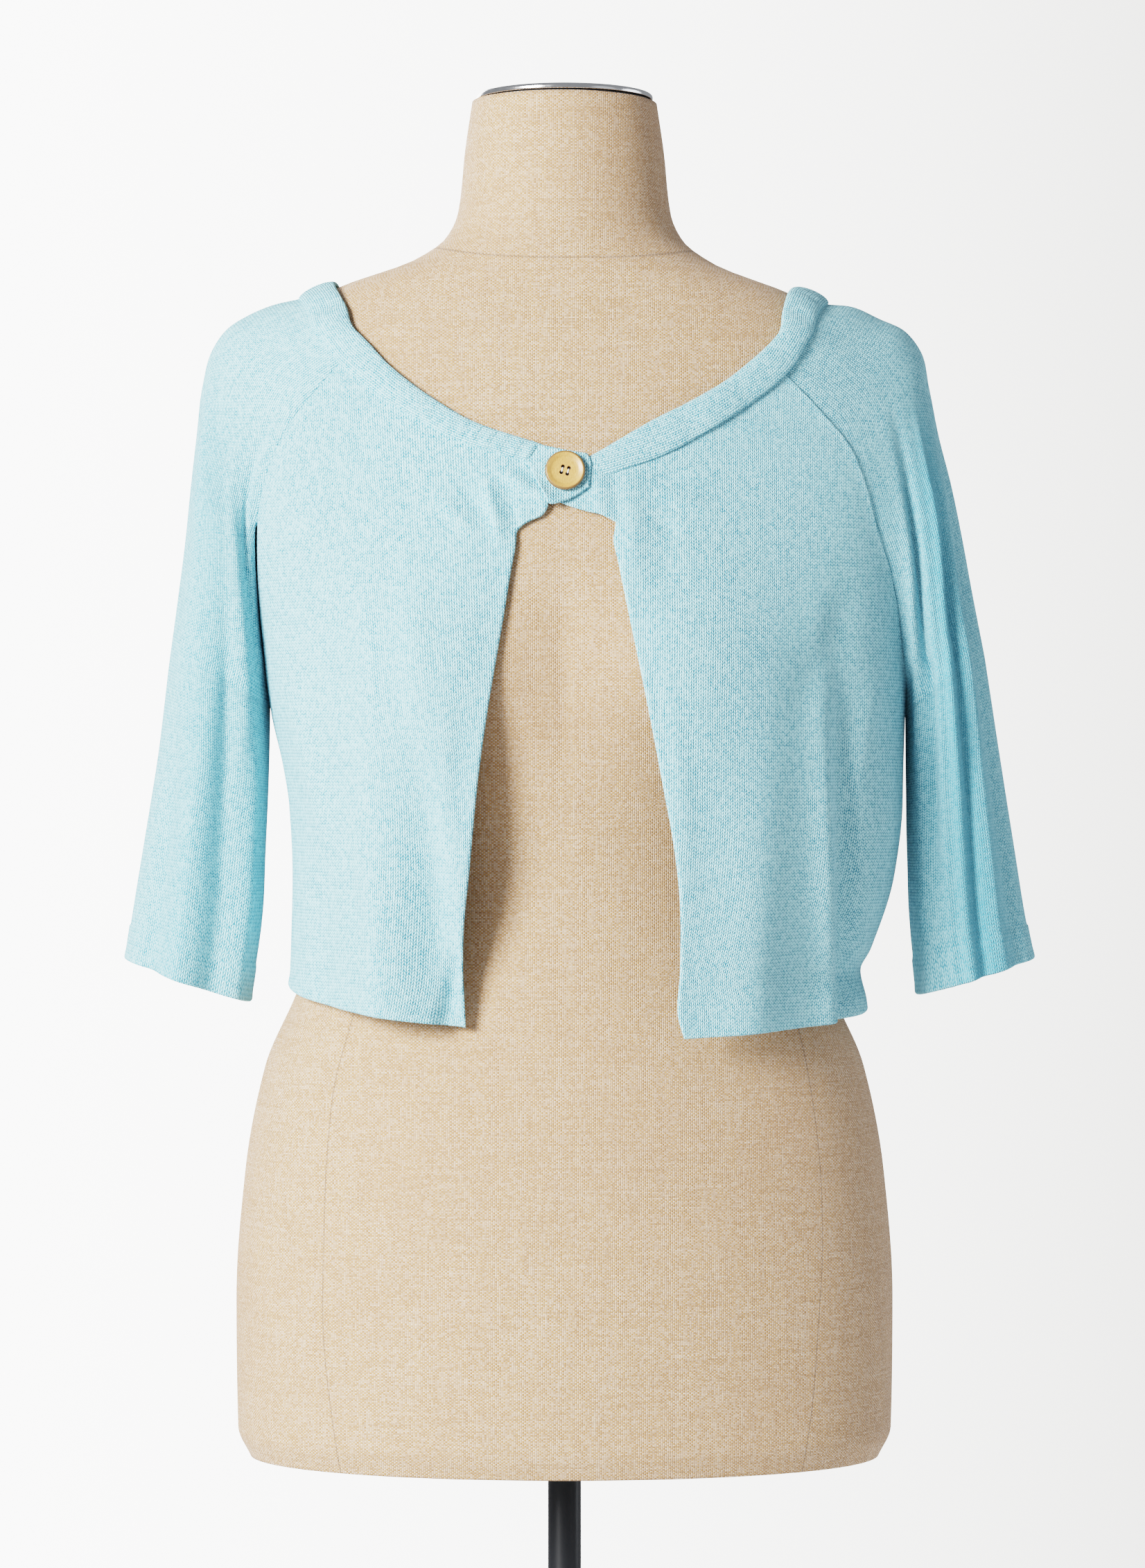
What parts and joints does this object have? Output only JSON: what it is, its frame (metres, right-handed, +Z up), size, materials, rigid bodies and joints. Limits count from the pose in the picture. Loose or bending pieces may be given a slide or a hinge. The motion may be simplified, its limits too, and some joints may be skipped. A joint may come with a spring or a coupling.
{
  "type": "knitted shrug on a dress form",
  "caption": "Cropped open knitted shrug with raglan sleeves, rolled neckband and one button, on a linen dress form with a neck cap, pole and round base.",
  "frame": {"origin": "on the floor, at the centre of the base plate's flat underside, under the pole", "axes": "+Z up along the pole, -Y the front of the form, where the shrug opens, +X towards the wearer's left"},
  "size_m": [0.5543, 0.33, 1.4426],
  "materials": {
    "knit": "fine matt jersey knit",
    "linen": "coarse plain-weave linen canvas",
    "gasket": "matt black",
    "cap_metal": "polished",
    "black_enamel": "satin black enamel",
    "button": "bamboo-coloured with a darker polished rim"
  },
  "bodies": {
    "root": {"torso": "linen", "neck_gasket": "gasket", "neck_cap": "cap_metal", "pole_socket": "black_enamel", "pole": "black_enamel", "base_plate": "black_enamel", "front_right": "knit", "front_left": "knit", "back": "knit", "sleeve_right": "knit", "sleeve_left": "knit", "neckband": "knit", "tab": "knit", "underlap": "knit", "button": "button"}
  },
  "joints": []
}
